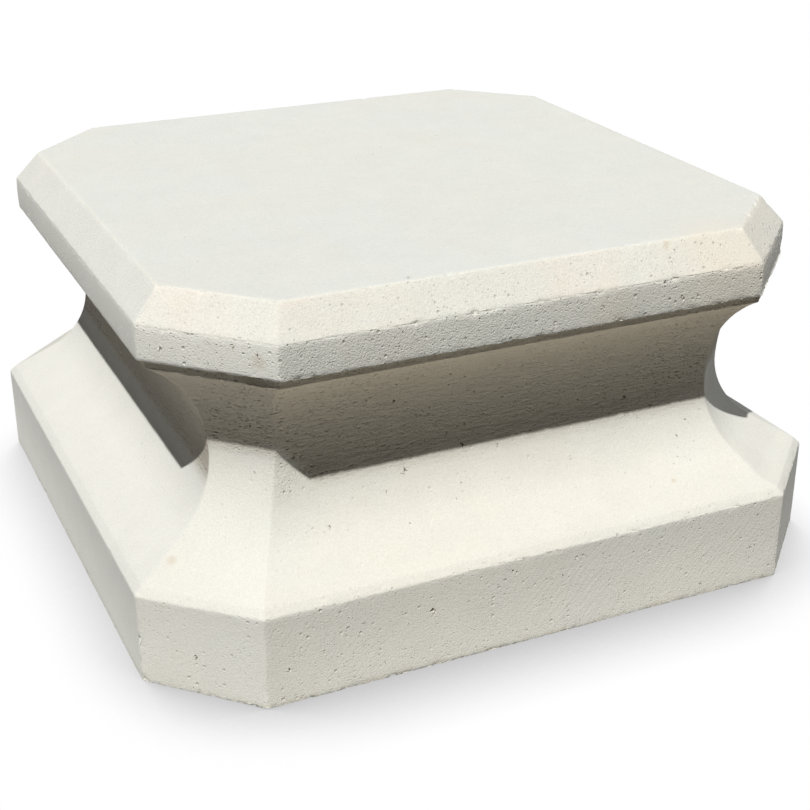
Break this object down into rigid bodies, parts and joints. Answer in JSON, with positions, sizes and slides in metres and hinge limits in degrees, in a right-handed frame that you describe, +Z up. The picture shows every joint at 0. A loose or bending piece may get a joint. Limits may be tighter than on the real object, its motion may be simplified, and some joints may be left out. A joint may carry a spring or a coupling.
{
  "type": "stone plinth",
  "caption": "Square cut-stone plinth with chamfered corners, a deep cove worked all round between a broad base slab and a smaller bevelled top slab.",
  "frame": {"origin": "middle of the base's underside, on the ground", "axes": "+Z up through the middle of the plinth, X and Y square to its sides"},
  "size_m": [0.5, 0.5, 0.249],
  "materials": {
    "stone": "fine sawn limestone, dry and unpolished, with small pits and softened arrises"
  },
  "bodies": {
    "root": {"plinth": "stone"}
  },
  "joints": []
}
